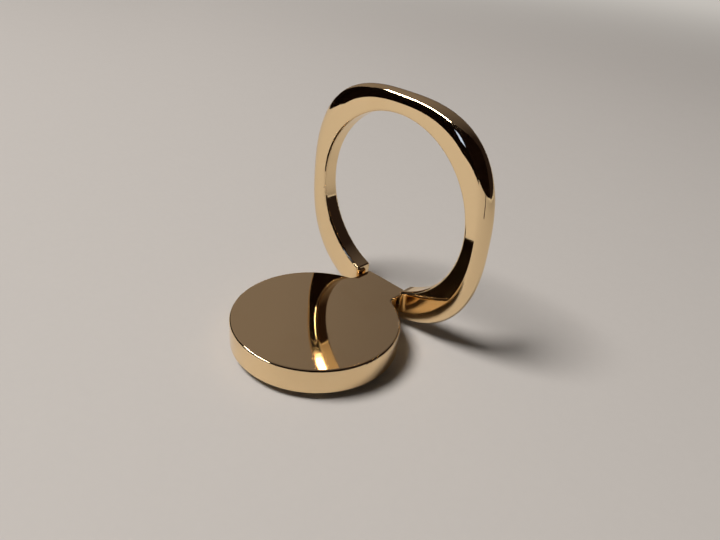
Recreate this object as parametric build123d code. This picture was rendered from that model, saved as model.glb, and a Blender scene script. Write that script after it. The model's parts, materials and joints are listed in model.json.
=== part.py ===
from build123d import *

import math
import os

# Phone ring holder: a keyhole disc that turns on a stuck-down plate, and a finger ring hinged in its tab.
# Millimetres. The origin is the centre of the pad's underside, on the axis the disc turns about.
# Z points up, X runs along the hinge and Y points from the disc's centre towards the tab.

# Disc and tab
disc_radius = 14.0
disc_height = 4.3
disc_lift = 1.2  # resting face to the disc's lower edge
top_edge_radius = 0.4
lower_edge_radius = 0.15
tab_width = 9.5
tab_tail = 1.25  # hinge axis to the tab's far edge
tab_corner_radius = 0.6
notch_radius = 1.0  # inside corner between the tab and the disc
top_wall = 1.4  # metal left above the hollow underside

# Ring
fold_clearance = 1.4  # disc to finger hole, all round, when the ring lies folded
ring_thickness = 3.1
side_band = 3.8
top_band = 3.5
base_band = 5.55
top_squareness = 2.75  # 2 makes an ellipse, higher values a squarer cushion
base_squareness = 2.45
outline_points = 48
rounding_start = 9.0  # degrees the outside's rounding is turned from each flat face where it begins
rounding_ease = 0.4  # 0 rounds the outside evenly, higher values less beside the faces and more in between
rounding_steps = 14  # an even number, so that one section is the outside line
face_softening = 0.3  # how much less square the flat face's edge is than the outside line
inner_edge_radius = 0.5
end_edge_radius = 0.4
end_gap = 0.3  # tab side to ring end
end_rise = 3.15  # hole edge above the hinge axis, at the ring's ends
swing_clearance = 0.12  # ring end's rounded corner to the disc as the ring swings past

# Hinge
hinge_drop = 1.9  # disc top down to the hinge axis
pin_radius = 0.6
pin_seat = 2.5  # depth of the pin in each ring end
pin_running = 0.03
clip_wall = 0.2
clip_mouth = 100.0  # degrees left open underneath, narrower than the pin
clip_inset = 0.2  # clip end to tab side

# Plate, pad and the swivel's small pieces
rim_wall = 0.8  # disc's side down beside the plate
pad_inset = 0.3  # plate's edge to the pad's edge
pad_thickness = 0.8
plate_thickness = 0.8
plate_side_clearance = 0.3
raised_radius = 5.0
raised_slope = 0.5  # how much wider the raised centre is at its foot
raised_height = 1.3
raised_clearance = 0.2
friction_ring_width = 2.4
friction_ring_thickness = 0.25
swivel_running = 0.02
rib_thickness = 1.0
rivet_radius = 1.5
rivet_seat = 1.5  # depth of the rivet in the disc's boss
rivet_head_thickness = 0.6
rivet_hole_clearance = 0.1
washer_bore_clearance = 0.25
washer_width = 1.45  # bore to outer edge
rivet_head_lap = 0.3  # rivet head past the washer's edge
washer_thickness = 0.3
washer_dish = 0.2  # height of the washer's cone

# Places that follow from the sizes above
disc_top = disc_lift + disc_height
hinge_z = disc_top - hinge_drop
tab_half = tab_width / 2
ring_end = tab_half + end_gap
hole_radius = disc_radius + fold_clearance
half_thickness = ring_thickness / 2

# The ring's end passes closest to the inside corner of the tab, so that corner places the hinge.
notch_x = tab_half + notch_radius
notch_y = math.sqrt((disc_radius + notch_radius) ** 2 - notch_x**2)
notch_edge = notch_y - math.sqrt(notch_radius**2 - (notch_x - ring_end) ** 2)
corner_reach = inner_edge_radius + math.hypot(end_rise - inner_edge_radius, half_thickness - inner_edge_radius)
hinge_y = notch_edge + corner_reach + swing_clearance
hole_rise = end_rise + math.sqrt(hole_radius**2 - ring_end**2)
tab_end = hinge_y + tab_tail
channel_radius = pin_radius + pin_running + clip_wall

recess_radius = disc_radius - rim_wall
plate_radius = recess_radius - plate_side_clearance
pad_radius = plate_radius - pad_inset
plate_bottom = pad_thickness
plate_top = plate_bottom + plate_thickness
land_z = plate_top + friction_ring_thickness + swivel_running
raised_top = plate_top + raised_height
pocket_top = raised_top - plate_thickness
boss_z = raised_top + raised_clearance
land_inner_radius = recess_radius - friction_ring_width - 2 * plate_side_clearance
well_radius = raised_radius + raised_slope + plate_side_clearance
rivet_hole_radius = rivet_radius + rivet_hole_clearance
washer_bore = rivet_radius + washer_bore_clearance
washer_radius = washer_bore + washer_width
rivet_head_radius = washer_radius + rivet_head_lap
washer_low = pocket_top - washer_thickness - washer_dish
rivet_head_top = washer_low - swivel_running


def upright(radius, bottom, top):
    """A cylinder on the swivel axis between two heights."""
    return Pos(0, 0, (bottom + top) / 2) * Cylinder(radius, top - bottom)


def along_hinge(radius, length):
    """A cylinder on the hinge axis, centred on the tab."""
    return Pos(0, hinge_y, hinge_z) * Rot(0, 90, 0) * Cylinder(radius, length)


def turned(points):
    """A solid turned about the swivel axis from (radius, height) corners."""
    return revolve(make_face(Plane.XZ * Polyline(*points, close=True)), Axis.Z)


def adhesive_pad():
    return upright(pad_radius, 0, pad_thickness)


def base_plate():
    foot = raised_radius + raised_slope
    return turned(
        [
            (plate_radius, plate_bottom),
            (plate_radius, plate_top),
            (foot, plate_top),
            (raised_radius, raised_top),
            (rivet_hole_radius, raised_top),
            (rivet_hole_radius, pocket_top),
            (raised_radius - plate_thickness, pocket_top),
            (foot - plate_thickness, plate_bottom),
        ]
    )


def friction_ring():
    outer = plate_radius - plate_side_clearance
    top = plate_top + friction_ring_thickness
    return upright(outer, plate_top, top) - upright(outer - friction_ring_width, plate_top, top)


def spring_washer():
    return turned(
        [
            (washer_bore, pocket_top),
            (washer_bore, pocket_top - washer_thickness),
            (washer_radius, washer_low),
            (washer_radius, washer_low + washer_thickness),
        ]
    )


def swivel_rivet():
    head = upright(rivet_head_radius, rivet_head_top - rivet_head_thickness, rivet_head_top)
    return head + upright(rivet_radius, rivet_head_top, boss_z + rivet_seat)


def keyhole():
    """Outline of disc and tab, with the corners of the tab rounded."""
    outline = Circle(disc_radius) + Pos(0, tab_end / 2) * Rectangle(tab_width, tab_end)
    corners = outline.vertices().filter_by(lambda v: abs(abs(v.X) - tab_half) < 1e-3 and v.Y > 0)
    by_distance = corners.sort_by(lambda v: v.Y)
    outline = fillet(by_distance[:2], notch_radius)
    tips = outline.vertices().sort_by(lambda v: v.Y)[-2:]
    return fillet(tips, tab_corner_radius)


def swivel_disc():
    disc = extrude(Pos(0, 0, disc_lift) * keyhole(), disc_height)
    disc = fillet(disc.faces().sort_by(Axis.Z)[-1].edges(), top_edge_radius)
    disc = fillet(disc.faces().sort_by(Axis.Z)[0].edges(), lower_edge_radius)
    disc -= upright(recess_radius, 0, land_z)
    disc -= upright(well_radius, 0, boss_z)
    hollow_top = disc_top - top_wall
    disc -= upright(land_inner_radius, 0, hollow_top) - upright(well_radius + rib_thickness, 0, hollow_top)
    disc -= upright(rivet_radius, 0, boss_z + rivet_seat)
    channel = along_hinge(channel_radius, tab_width + 2)
    mouth = Pos(0, hinge_y, hinge_z / 2) * Box(tab_width + 2, 2 * channel_radius, hinge_z)
    return disc - channel - mouth


def hinge_clip():
    length = tab_width - 2 * clip_inset
    sleeve = along_hinge(channel_radius, length) - along_hinge(pin_radius + pin_running, length)
    reach = 2 * channel_radius
    half = math.radians(clip_mouth / 2)
    side = reach * math.tan(half)
    wedge = make_face(Plane.YZ * Polyline((0, 0), (-side, -reach), (side, -reach), close=True))
    return sleeve - Pos(0, hinge_y, hinge_z) * extrude(wedge, length, both=True)


def hinge_pin():
    return along_hinge(pin_radius, 2 * (ring_end + pin_seat))


def cushion(inset, softening):
    """A superellipse inside the ring's outside line, about the same centre, begun where the tab's gap opens it."""
    half_width = hole_radius + side_band - inset
    half_height = hole_radius + (top_band + base_band) / 2 - inset

    def point(turn):
        c, s = math.cos(turn), math.sin(turn)
        power = (top_squareness if s > 0 else base_squareness) - softening
        reach = (abs(c / half_width) ** power + abs(s / half_height) ** power) ** (-1 / power)
        return reach * c, reach * s

    turns = [2 * math.pi * (i / outline_points - 0.25) for i in range(outline_points)]
    return make_face(Spline(*[point(turn) for turn in turns], periodic=True))


def outside_profile():
    """(inset, depth) points in equal steps round the ring's outside, from its front face to its back."""
    start = math.radians(rounding_start)
    inset, depth = 0, 0
    walk = [(inset, depth)]
    for step in range(rounding_steps):
        part = (step + 0.5) / rounding_steps
        eased = part - rounding_ease * math.sin(2 * math.pi * part) / (2 * math.pi)
        turn = start + (math.pi - 2 * start) * eased
        inset -= math.cos(turn)
        depth -= math.sin(turn)
        walk.append((inset, depth))
    step_length = ring_thickness / -depth
    outermost = min(inset for inset, depth in walk)
    return [((inset - outermost) * step_length, half_thickness + depth * step_length) for inset, depth in walk]


def rounded_cushion():
    """The ring before its hole: cushions lofted through the thickness, each inset as the outside's profile says."""
    profile = outside_profile()
    face_inset = profile[0][0]
    return loft([Pos(0, 0, depth) * cushion(inset, face_softening * inset / face_inset) for inset, depth in profile])


def finger_ring():
    front = Plane(origin=(0, hinge_y, hinge_z), x_dir=(1, 0, 0), z_dir=(0, -1, 0))
    outside = Pos(0, hole_rise + (top_band - base_band) / 2) * rounded_cushion()
    hole = Pos(0, hole_rise) * Rot(0, 0, -90) * Cylinder(hole_radius, 2 * ring_thickness)
    ring = front * (outside - hole)
    holes = ring.edges().filter_by(GeomType.CIRCLE).filter_by(lambda e: abs(e.radius - hole_radius) < 1e-3)
    ring = fillet(holes, inner_edge_radius)
    ring -= Pos(0, hinge_y, hinge_z) * Box(2 * ring_end, 2 * ring_thickness, 2 * hole_radius)
    ends = ring.faces().filter_by(Axis.X).filter_by(lambda f: abs(abs(f.center().X) - ring_end) < 1e-3)
    ring = fillet(ends.edges(), end_edge_radius)
    return ring - hinge_pin()


nodes = {
    "adhesive_pad": adhesive_pad(),
    "base_plate": base_plate(),
    "friction_ring": friction_ring(),
    "spring_washer": spring_washer(),
    "swivel_rivet": swivel_rivet(),
    "swivel_disc": swivel_disc(),
    "hinge_clip": hinge_clip(),
    "hinge_pin": hinge_pin(),
    "finger_ring": finger_ring(),
}

os.makedirs("parts", exist_ok=True)
for name, shape in nodes.items():
    export_step(shape, f"parts/{name}.step")
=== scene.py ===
import json
import math

import bpy
from mathutils import Matrix, Vector


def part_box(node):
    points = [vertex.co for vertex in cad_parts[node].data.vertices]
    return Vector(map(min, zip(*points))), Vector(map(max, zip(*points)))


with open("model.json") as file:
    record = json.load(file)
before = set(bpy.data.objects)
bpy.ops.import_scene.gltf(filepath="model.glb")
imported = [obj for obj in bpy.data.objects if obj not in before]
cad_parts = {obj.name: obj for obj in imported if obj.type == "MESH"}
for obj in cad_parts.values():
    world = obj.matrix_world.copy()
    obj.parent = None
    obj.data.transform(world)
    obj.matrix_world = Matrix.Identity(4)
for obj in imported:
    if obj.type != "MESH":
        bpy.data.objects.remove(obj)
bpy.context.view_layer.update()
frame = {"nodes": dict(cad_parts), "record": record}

# Camera as in the photograph: the pixel that shows the middle of the disc's top, and the view of it
photo_width = 720
photo_height = 540
focal_length_px = 620
disc_middle_px = (315.9, 315.5)
view_azimuth = math.radians(41.44)
view_elevation = math.radians(30.68)
view_roll = math.radians(5.71)
view_distance = 0.1019
sensor_width_mm = 36
nearest_seen = 0.005
farthest_seen = 20

# Table
table_half_side = 3.0
table_colour = (0.54, 0.505, 0.475)
table_shade = 0.96  # the grain's darker colour as a share of the table's
table_fade_start = 0.25
table_fade_end = 0.8

# Key lamp: a round panel, given by the direction of its middle from the object
key_azimuth = math.radians(-42)
key_elevation = math.radians(60)
key_distance = 1.2
key_diameter = 0.5
key_radiance = 27.5
key_colour = (1.0, 0.985, 0.965)

# Glowing panes seen only in the polish, a long tube above the dark screen and a small bluish pane before it;
# here and for the tube's backing, corners are (azimuth, elevation) in degrees seen from the object
tube_distance = 1.3
tube_corners = ((-67, 45), (-67, 41.5), (-10, 28), (-10, 32))
tube_radiance = 25.0
pane_distance = 0.165
pane_corners = ((-12, 30), (-12, 16.5), (-6.5, 16.5), (-6.5, 30))
pane_colour = (0.34, 0.51, 1.0)
pane_radiance = 1.7

# Room seen in the polish: dark, with a lit patch and its brighter middle, each full within one angle of the
# patch's direction and gone beyond another; the rest of the set is lit by the plain fill
patch_azimuth = math.radians(-93)
patch_elevation = math.radians(24)
patches = (
    (math.radians(34), math.radians(90), (0.168, 0.151, 0.144)),
    (math.radians(9), math.radians(44), (0.046, 0.039, 0.03)),
)
room_colour = (0.018, 0.012, 0.011)
fill_colour = (0.045, 0.041, 0.036)
backdrop_colour = (0.55, 0.52, 0.48)

# Dark cards seen only in the polish: a folding screen on the table, a backing behind the tube,
# and the camera's own back with its post
screen_folds = (
    # azimuth in degrees, distance, height
    (6, 0.19, 0.08),
    (-5, 0.20, 0.10),
    (-22, 0.22, 0.126),
    (-31, 0.22, 0.145),
    (-40, 0.22, 0.166),
    (-54, 0.28, 0.24),
    (-70, 0.40, 0.30),
    (-85, 0.48, 0.29),
    (-100, 0.48, 0.175),
    (-117, 0.48, 0.062),
)
card_colour = (0.014, 0.008, 0.007)
backing_distance = 1.6
backing_corners = ((-72, 41), (-72, 25), (-5, 15), (-5, 33))
camera_card_left = 0.10
camera_card_right = 0.075
camera_card_drop = 0.050
camera_card_rise = 0.060
camera_card_set_back = 0.004
post_half_width = 0.004

# Shared effects
line_axis = (0.3, 0.5, 0.8)
line_peaks = (0.62, 0.80)  # noise level where a polishing line begins, and where it is full
mark_edge = 0.25  # noise level from a mark's edge to its full strength
coarse_grain_scale = 0.2
coarse_grain_share = 0.35

# Finishes: colours, noise per metre, least and most roughness, and depths in metres
gold_colour = (0.93, 0.70, 0.41)
gold_deep_colour = (0.88, 0.63, 0.34)
gold_deep_share = 0.35
gold_lines = 2500.0
gold_line_roughness = 0.06
gold_line_depth = 2e-7
gold_marks = 90.0
gold_mark_cover = 0.5
gold_roughness = (0.035, 0.07)
steel_colour = (0.56, 0.57, 0.58)
steel_dull_colour = (0.44, 0.45, 0.46)
steel_lines = 5000.0
steel_line_stretch = 0.015
steel_line_turn = 0.05
steel_line_depth = 4e-6
steel_marks = 200.0
steel_mark_cover = 0.55
steel_roughness = (0.28, 0.45)
foam_colour = (0.018, 0.018, 0.019)
foam_light_colour = (0.04, 0.04, 0.042)
foam_grains = 5000.0
foam_grain_depth = 6e-5
foam_roughness = (0.75, 0.95)
nylon_colour = (0.82, 0.81, 0.77)
nylon_shade_colour = (0.74, 0.73, 0.68)
nylon_grains = 3000.0
nylon_grain_depth = 1e-5
nylon_roughness = (0.45, 0.6)
table_grains = 700.0
table_grain_depth = 2e-5
table_roughness = (0.5, 0.65)


def direction(azimuth, elevation):
    """Unit vector with azimuth counted from -Y towards +X and elevation up from the table."""
    level = math.cos(elevation)
    return Vector((math.sin(azimuth) * level, -math.cos(azimuth) * level, math.sin(elevation)))


def add_node(tree, kind, values=None, **settings):
    """A shader node with its settings, and its inputs set to values or joined to other nodes' sockets."""
    made = tree.nodes.new(kind)
    for name, value in settings.items():
        setattr(made, name, value)
    for key, value in (values or {}).items():
        if isinstance(value, bpy.types.NodeSocket):
            tree.links.new(value, made.inputs[key])
        else:
            made.inputs[key].default_value = value
    return made


def new_group(name, inputs, outputs):
    """An empty shader node group with named sockets; gives the tree and its two end nodes."""
    tree = bpy.data.node_groups.new(name, "ShaderNodeTree")
    for label, kind, value in inputs:
        made = tree.interface.new_socket(label, in_out="INPUT", socket_type=kind)
        if value is not None:
            made.default_value = value
    for label, kind in outputs:
        tree.interface.new_socket(label, in_out="OUTPUT", socket_type=kind)
    return tree, tree.nodes.new("NodeGroupInput"), tree.nodes.new("NodeGroupOutput")


def polish_lines():
    """Hairlines left by polishing: noise drawn out along two crossing directions, kept only at its peaks."""
    tree, start, end = new_group(
        "polish_lines",
        [
            ("Vector", "NodeSocketVector", None),
            ("Lines per metre", "NodeSocketFloat", 3000.0),
            ("Stretch", "NodeSocketFloat", 0.04),
            ("Turn", "NodeSocketFloat", 0.6),
        ],
        [("Lines", "NodeSocketFloat")],
    )
    found = []
    for side in (1.0, -1.0):
        turn = add_node(tree, "ShaderNodeMath", {0: start.outputs["Turn"], 1: side}, operation="MULTIPLY")
        turned = add_node(
            tree,
            "ShaderNodeVectorRotate",
            {"Vector": start.outputs["Vector"], "Axis": line_axis, "Angle": turn.outputs[0]},
        )
        squeeze = add_node(tree, "ShaderNodeCombineXYZ", {0: 1.0, 1: start.outputs["Stretch"], 2: 1.0})
        drawn = add_node(
            tree,
            "ShaderNodeVectorMath",
            {0: turned.outputs["Vector"], 1: squeeze.outputs[0]},
            operation="MULTIPLY",
        )
        noise = add_node(
            tree,
            "ShaderNodeTexNoise",
            {"Vector": drawn.outputs[0], "Scale": start.outputs["Lines per metre"], "Detail": 2.0},
        )
        peaks = add_node(
            tree,
            "ShaderNodeMapRange",
            {"Value": noise.outputs["Fac"], "From Min": line_peaks[0], "From Max": line_peaks[1]},
        )
        found.append(peaks.outputs["Result"])
    both = add_node(tree, "ShaderNodeMath", {0: found[0], 1: found[1]}, operation="MAXIMUM")
    tree.links.new(both.outputs[0], end.inputs["Lines"])
    return tree


def soft_marks():
    """Handling marks: broad cloudy noise, kept only where it is high; a larger cover keeps more of it."""
    tree, start, end = new_group(
        "soft_marks",
        [
            ("Vector", "NodeSocketVector", None),
            ("Marks per metre", "NodeSocketFloat", 120.0),
            ("Cover", "NodeSocketFloat", 0.5),
        ],
        [("Mask", "NodeSocketFloat")],
    )
    broad = add_node(
        tree,
        "ShaderNodeTexNoise",
        {
            "Vector": start.outputs["Vector"],
            "Scale": start.outputs["Marks per metre"],
            "Detail": 3.0,
            "Roughness": 0.6,
        },
    )
    high = add_node(tree, "ShaderNodeMath", {0: 1.0, 1: start.outputs["Cover"]}, operation="SUBTRACT")
    full = add_node(tree, "ShaderNodeMath", {0: high.outputs[0], 1: mark_edge}, operation="ADD")
    mask = add_node(
        tree,
        "ShaderNodeMapRange",
        {"Value": broad.outputs["Fac"], "From Min": high.outputs[0], "From Max": full.outputs[0]},
        interpolation_type="SMOOTHSTEP",
    )
    tree.links.new(mask.outputs["Result"], end.inputs["Mask"])
    return tree


def grain():
    """Fine even grain: two sizes of noise blended, as a value about one half."""
    tree, start, end = new_group(
        "grain",
        [("Vector", "NodeSocketVector", None), ("Grains per metre", "NodeSocketFloat", 4000.0)],
        [("Value", "NodeSocketFloat")],
    )
    fine = add_node(
        tree,
        "ShaderNodeTexNoise",
        {"Vector": start.outputs["Vector"], "Scale": start.outputs["Grains per metre"], "Detail": 3.0},
    )
    coarse_scale = add_node(
        tree,
        "ShaderNodeMath",
        {0: start.outputs["Grains per metre"], 1: coarse_grain_scale},
        operation="MULTIPLY",
    )
    coarse = add_node(
        tree,
        "ShaderNodeTexNoise",
        {"Vector": start.outputs["Vector"], "Scale": coarse_scale.outputs[0], "Detail": 2.0},
    )
    mean = add_node(
        tree,
        "ShaderNodeMix",
        {"Factor": coarse_grain_share, "A": fine.outputs["Fac"], "B": coarse.outputs["Fac"]},
        data_type="FLOAT",
    )
    tree.links.new(mean.outputs["Result"], end.inputs["Value"])
    return tree


groups = {"polish_lines": polish_lines(), "soft_marks": soft_marks(), "grain": grain()}


def place_group(tree, name, values):
    """One of the shared effects, placed in a material with its own values."""
    return add_node(tree, "ShaderNodeGroup", values, node_tree=groups[name])


def new_material(name):
    """A material with one Principled shader; gives it, its tree, the shader and the object coordinates."""
    made = bpy.data.materials.new(name)
    made.use_nodes = True
    tree = made.node_tree
    shader = tree.nodes["Principled BSDF"]
    place = add_node(tree, "ShaderNodeTexCoord")
    return made, tree, shader, place.outputs["Object"]


def blend_colours(tree, factor, first, second):
    """The socket of a colour that goes from first to second with the factor."""
    mix = add_node(
        tree, "ShaderNodeMix", {"Factor": factor, "A": (*first, 1.0), "B": (*second, 1.0)}, data_type="RGBA"
    )
    return mix.outputs["Result"]


def spread(tree, value, low, high):
    """The socket of a value between low and high as the given one goes from 0 to 1."""
    made = add_node(tree, "ShaderNodeMapRange", {"Value": value, "To Min": low, "To Max": high})
    return made.outputs["Result"]


def bump(tree, height, depth):
    """The socket of a normal raised by a height map of the given depth in metres."""
    made = add_node(tree, "ShaderNodeBump", {"Height": height, "Distance": depth, "Strength": 1.0})
    return made.outputs["Normal"]


def gold_plate():
    """Mirror polish with hairlines; handling marks dull it and deepen its colour."""
    made, tree, shader, place = new_material("polished_gold_plate")
    lines = place_group(tree, "polish_lines", {"Vector": place, "Lines per metre": gold_lines})
    marks = place_group(
        tree, "soft_marks", {"Vector": place, "Marks per metre": gold_marks, "Cover": gold_mark_cover}
    )
    tint = spread(tree, marks.outputs["Mask"], 0.0, gold_deep_share)
    tree.links.new(blend_colours(tree, tint, gold_colour, gold_deep_colour), shader.inputs["Base Color"])
    handled = spread(tree, marks.outputs["Mask"], *gold_roughness)
    scratched = spread(tree, lines.outputs["Lines"], 0.0, gold_line_roughness)
    dull = add_node(tree, "ShaderNodeMath", {0: handled, 1: scratched}, operation="ADD")
    tree.links.new(dull.outputs[0], shader.inputs["Roughness"])
    tree.links.new(bump(tree, lines.outputs["Lines"], gold_line_depth), shader.inputs["Normal"])
    shader.inputs["Metallic"].default_value = 1.0
    return made


def rolled_steel():
    """Steel with fine lines along the rolling direction and duller marks."""
    made, tree, shader, place = new_material("rolled_steel")
    lines = place_group(
        tree,
        "polish_lines",
        {
            "Vector": place,
            "Lines per metre": steel_lines,
            "Stretch": steel_line_stretch,
            "Turn": steel_line_turn,
        },
    )
    marks = place_group(
        tree, "soft_marks", {"Vector": place, "Marks per metre": steel_marks, "Cover": steel_mark_cover}
    )
    colour = blend_colours(tree, marks.outputs["Mask"], steel_colour, steel_dull_colour)
    tree.links.new(colour, shader.inputs["Base Color"])
    tree.links.new(spread(tree, lines.outputs["Lines"], *steel_roughness), shader.inputs["Roughness"])
    tree.links.new(bump(tree, lines.outputs["Lines"], steel_line_depth), shader.inputs["Normal"])
    shader.inputs["Metallic"].default_value = 1.0
    return made


def grained(name, colour, other_colour, grains, depth, roughness):
    """A matt material whose colour, roughness and height all follow one grain."""
    made, tree, shader, place = new_material(name)
    value = place_group(tree, "grain", {"Vector": place, "Grains per metre": grains}).outputs["Value"]
    tree.links.new(blend_colours(tree, value, colour, other_colour), shader.inputs["Base Color"])
    tree.links.new(spread(tree, value, *roughness), shader.inputs["Roughness"])
    tree.links.new(bump(tree, value, depth), shader.inputs["Normal"])
    return made


finishes = {
    "gold_plate": gold_plate(),
    "steel": rolled_steel(),
    "foam_tape": grained(
        "foam_tape", foam_colour, foam_light_colour, foam_grains, foam_grain_depth, foam_roughness
    ),
    "nylon": grained(
        "nylon", nylon_colour, nylon_shade_colour, nylon_grains, nylon_grain_depth, nylon_roughness
    ),
}
for part in frame["record"]["subparts"]:
    node = frame["nodes"][part["node"]]
    node.data.materials.clear()
    node.data.materials.append(finishes[part["material_slot"]])


def flat_card(name, corners, material):
    """A single four-sided face for the set."""
    mesh = bpy.data.meshes.new(name)
    mesh.from_pydata(corners, [], [tuple(range(len(corners)))])
    mesh.materials.append(material)
    made = bpy.data.objects.new(name, mesh)
    bpy.context.scene.collection.objects.link(made)
    return made


def pale_distance(material):
    """Lets a level surface go over into the backdrop's colour far out, seen directly or in the polish."""
    tree = material.node_tree
    place = add_node(tree, "ShaderNodeTexCoord")
    away = add_node(tree, "ShaderNodeVectorMath", {0: place.outputs["Object"]}, operation="LENGTH")
    far = add_node(
        tree,
        "ShaderNodeMapRange",
        {"Value": away.outputs["Value"], "From Min": table_fade_start, "From Max": table_fade_end},
        interpolation_type="SMOOTHSTEP",
    )
    path = add_node(tree, "ShaderNodeLightPath")
    seen = add_node(
        tree,
        "ShaderNodeMath",
        {0: path.outputs["Is Camera Ray"], 1: path.outputs["Is Glossy Ray"]},
        operation="MAXIMUM",
    )
    share = add_node(
        tree, "ShaderNodeMath", {0: far.outputs["Result"], 1: seen.outputs[0]}, operation="MULTIPLY"
    )
    glow = add_node(tree, "ShaderNodeEmission", {"Color": (*backdrop_colour, 1.0), "Strength": 1.0})
    shader = tree.nodes["Principled BSDF"]
    mix = add_node(
        tree, "ShaderNodeMixShader", {0: share.outputs[0], 1: shader.outputs[0], 2: glow.outputs[0]}
    )
    tree.links.new(mix.outputs[0], tree.nodes["Material Output"].inputs["Surface"])


def table_top():
    """A pale grained table, level with the pad's underside."""
    side = table_half_side
    corners = [(-side, -side, 0), (side, -side, 0), (side, side, 0), (-side, side, 0)]
    shade = tuple(table_shade * value for value in table_colour)
    material = grained("table_top", table_colour, shade, table_grains, table_grain_depth, table_roughness)
    pale_distance(material)
    flat_card("table_top", corners, material)


def only_in_polish(card):
    """Hides a set piece from the camera and from the light, so that only reflections show it."""
    card.visible_camera = False
    card.visible_diffuse = False
    card.visible_shadow = False


def dark_card(name, corners):
    """A matt, nearly black card."""
    made = bpy.data.materials.new(name)
    made.use_nodes = True
    shader = made.node_tree.nodes["Principled BSDF"]
    shader.inputs["Base Color"].default_value = (*card_colour, 1.0)
    shader.inputs["Roughness"].default_value = 1.0
    shader.inputs["Specular IOR Level"].default_value = 0.0
    only_in_polish(flat_card(name, corners, made))


def dark_screen():
    """Dark leaves standing on the table from fold to fold."""
    edges = []
    for azimuth, distance, height in screen_folds:
        foot = direction(math.radians(azimuth), 0.0) * distance
        edges.append((foot, foot + Vector((0.0, 0.0, height))))
    for number, ((foot, top), (next_foot, next_top)) in enumerate(zip(edges, edges[1:]), start=1):
        dark_card(f"screen_leaf_{number}", [foot, next_foot, next_top, top])


def by_direction(corners, distance):
    """Corners given as (azimuth, elevation) in degrees, put at a distance from the object."""
    return [direction(*map(math.radians, corner)) * distance for corner in corners]


def glowing_pane(name, corners, colour, radiance):
    """A pane of even brightness."""
    made = bpy.data.materials.new(name)
    made.use_nodes = True
    tree = made.node_tree
    tree.nodes.remove(tree.nodes["Principled BSDF"])
    glow = add_node(tree, "ShaderNodeEmission", {"Color": (*colour, 1.0), "Strength": radiance})
    tree.links.new(glow.outputs[0], tree.nodes["Material Output"].inputs["Surface"])
    only_in_polish(flat_card(name, corners, made))


def key_lamp():
    """A lamp facing the object, its power set by the brightness of its face; no reflection shows it."""
    lamp = bpy.data.lights.new("key_lamp", "AREA")
    lamp.shape = "DISK"
    lamp.size = key_diameter
    lamp.energy = key_radiance * math.pi * math.pi * key_diameter**2 / 4
    lamp.color = key_colour
    made = bpy.data.objects.new("key_lamp", lamp)
    towards = direction(key_azimuth, key_elevation)
    made.location = towards * key_distance
    made.rotation_euler = towards.to_track_quat("Z", "Y").to_euler()
    made.visible_glossy = False
    bpy.context.scene.collection.objects.link(made)


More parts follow.
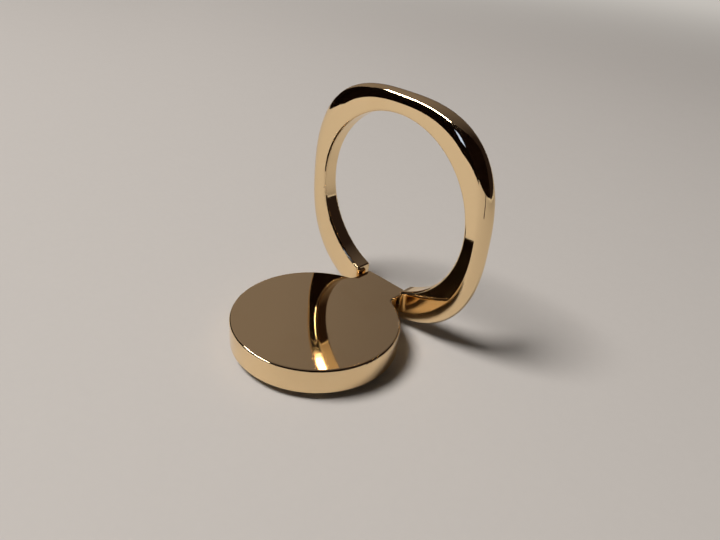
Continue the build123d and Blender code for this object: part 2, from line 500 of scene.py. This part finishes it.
def dark_room():
    """The polish sees a dark room and its lit patch, the camera the backdrop, and all else gets the fill."""
    world = bpy.data.worlds.new("dark_room")
    bpy.context.scene.world = world
    world.use_nodes = True
    tree = world.node_tree
    place = add_node(tree, "ShaderNodeTexCoord")
    near = add_node(
        tree,
        "ShaderNodeVectorMath",
        {0: place.outputs["Generated"], 1: direction(patch_azimuth, patch_elevation)},
        operation="DOT_PRODUCT",
    )
    away = add_node(tree, "ShaderNodeMath", {0: near.outputs["Value"]}, operation="ARCCOSINE")
    room = add_node(tree, "ShaderNodeRGB").outputs[0]
    room.default_value = (*room_colour, 1.0)
    for full, gone, colour in patches:
        inside = add_node(
            tree, "ShaderNodeMapRange", {"Value": away.outputs[0], "From Min": gone, "From Max": full}
        )
        lit = add_node(
            tree,
            "ShaderNodeMix",
            {"Factor": inside.outputs["Result"], "A": room, "B": (*colour, 1.0)},
            data_type="RGBA",
            blend_type="ADD",
        )
        room = lit.outputs["Result"]
    path = add_node(tree, "ShaderNodeLightPath")
    seen = add_node(
        tree,
        "ShaderNodeMix",
        {"Factor": path.outputs["Is Glossy Ray"], "A": (*fill_colour, 1.0), "B": room},
        data_type="RGBA",
    )
    plain = add_node(
        tree,
        "ShaderNodeMix",
        {"Factor": path.outputs["Is Camera Ray"], "A": seen.outputs["Result"], "B": (*backdrop_colour, 1.0)},
        data_type="RGBA",
    )
    tree.links.new(plain.outputs["Result"], tree.nodes["Background"].inputs["Color"])


def photo_camera():
    """The camera looks so that the middle of the disc's top falls on its pixel in the photograph."""
    back = direction(view_azimuth, view_elevation)
    level = Vector((math.cos(view_azimuth), math.sin(view_azimuth), 0.0))
    upright = back.cross(level)
    right = level * math.cos(view_roll) + upright * math.sin(view_roll)
    up = upright * math.cos(view_roll) - level * math.sin(view_roll)
    across = (disc_middle_px[0] - photo_width / 2) / focal_length_px
    rise = (photo_height / 2 - disc_middle_px[1]) / focal_length_px
    disc_middle = Vector((0.0, 0.0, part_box("swivel_disc")[1].z))
    eye = disc_middle + (back - right * across - up * rise) * view_distance
    lens = bpy.data.cameras.new("photo_camera")
    lens.sensor_width = sensor_width_mm
    lens.lens = focal_length_px * sensor_width_mm / photo_width
    lens.clip_start = nearest_seen
    lens.clip_end = farthest_seen
    made = bpy.data.objects.new("photo_camera", lens)
    made.matrix_world = Matrix.Translation(eye) @ Matrix((right, up, back)).transposed().to_4x4()
    bpy.context.scene.collection.objects.link(made)
    bpy.context.scene.camera = made
    return eye + back * camera_card_set_back, right, up


def camera_cards(eye, right, up):
    """The camera's dark back as a card round the lens, and a narrow post from the card down to the table."""
    left, low = right * -camera_card_left, up * -camera_card_drop
    far, high = right * camera_card_right, up * camera_card_rise
    dark_card("camera_back", [eye + left + low, eye + far + low, eye + far + high, eye + left + high])
    side = right * post_half_width
    foot = Vector((eye.x, eye.y, 0.0))
    dark_card("camera_post", [foot - side, foot + side, eye + low + side, eye + low - side])


table_top()
dark_screen()
key_lamp()
dark_card("tube_backing", by_direction(backing_corners, backing_distance))
glowing_pane("tube", by_direction(tube_corners, tube_distance), key_colour, tube_radiance)
glowing_pane("bluish_pane", by_direction(pane_corners, pane_distance), pane_colour, pane_radiance)
dark_room()
camera_cards(*photo_camera())
bpy.context.scene.view_settings.view_transform = "Standard"
